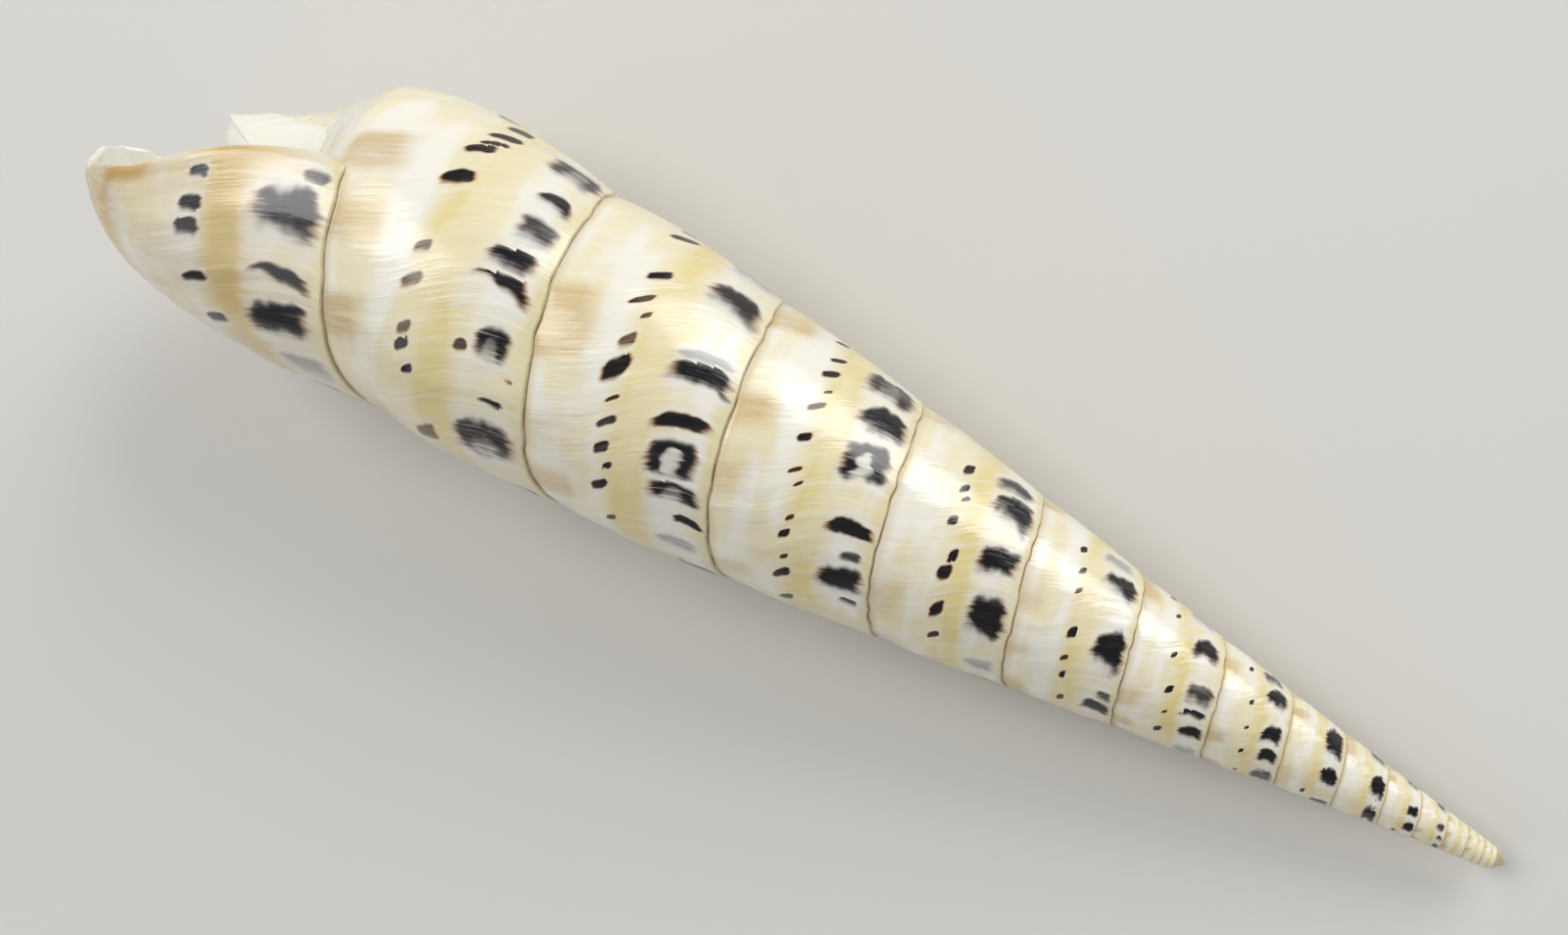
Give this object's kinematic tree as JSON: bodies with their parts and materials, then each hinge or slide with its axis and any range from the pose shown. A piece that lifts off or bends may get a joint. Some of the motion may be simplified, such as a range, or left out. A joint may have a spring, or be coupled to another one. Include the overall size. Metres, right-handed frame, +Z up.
{
  "type": "auger shell",
  "caption": "Tall slender spiral sea shell lying on its side, hollow from its open mouth, with a notched front end and a sharp tip.",
  "frame": {"origin": "Middle of the bounding box in X and Y, at the level of the surface that the shell lies on.", "axes": "+X runs along the shell from the mouth end to the tip, +Z is up, and the mouth opens towards +Y."},
  "size_m": [0.1598, 0.0348, 0.0358],
  "materials": {
    "shell": "naturally glossy ivory shell with rows of slate-black blotches and brown spots"
  },
  "bodies": {
    "root": {"shell": "shell"}
  },
  "joints": []
}
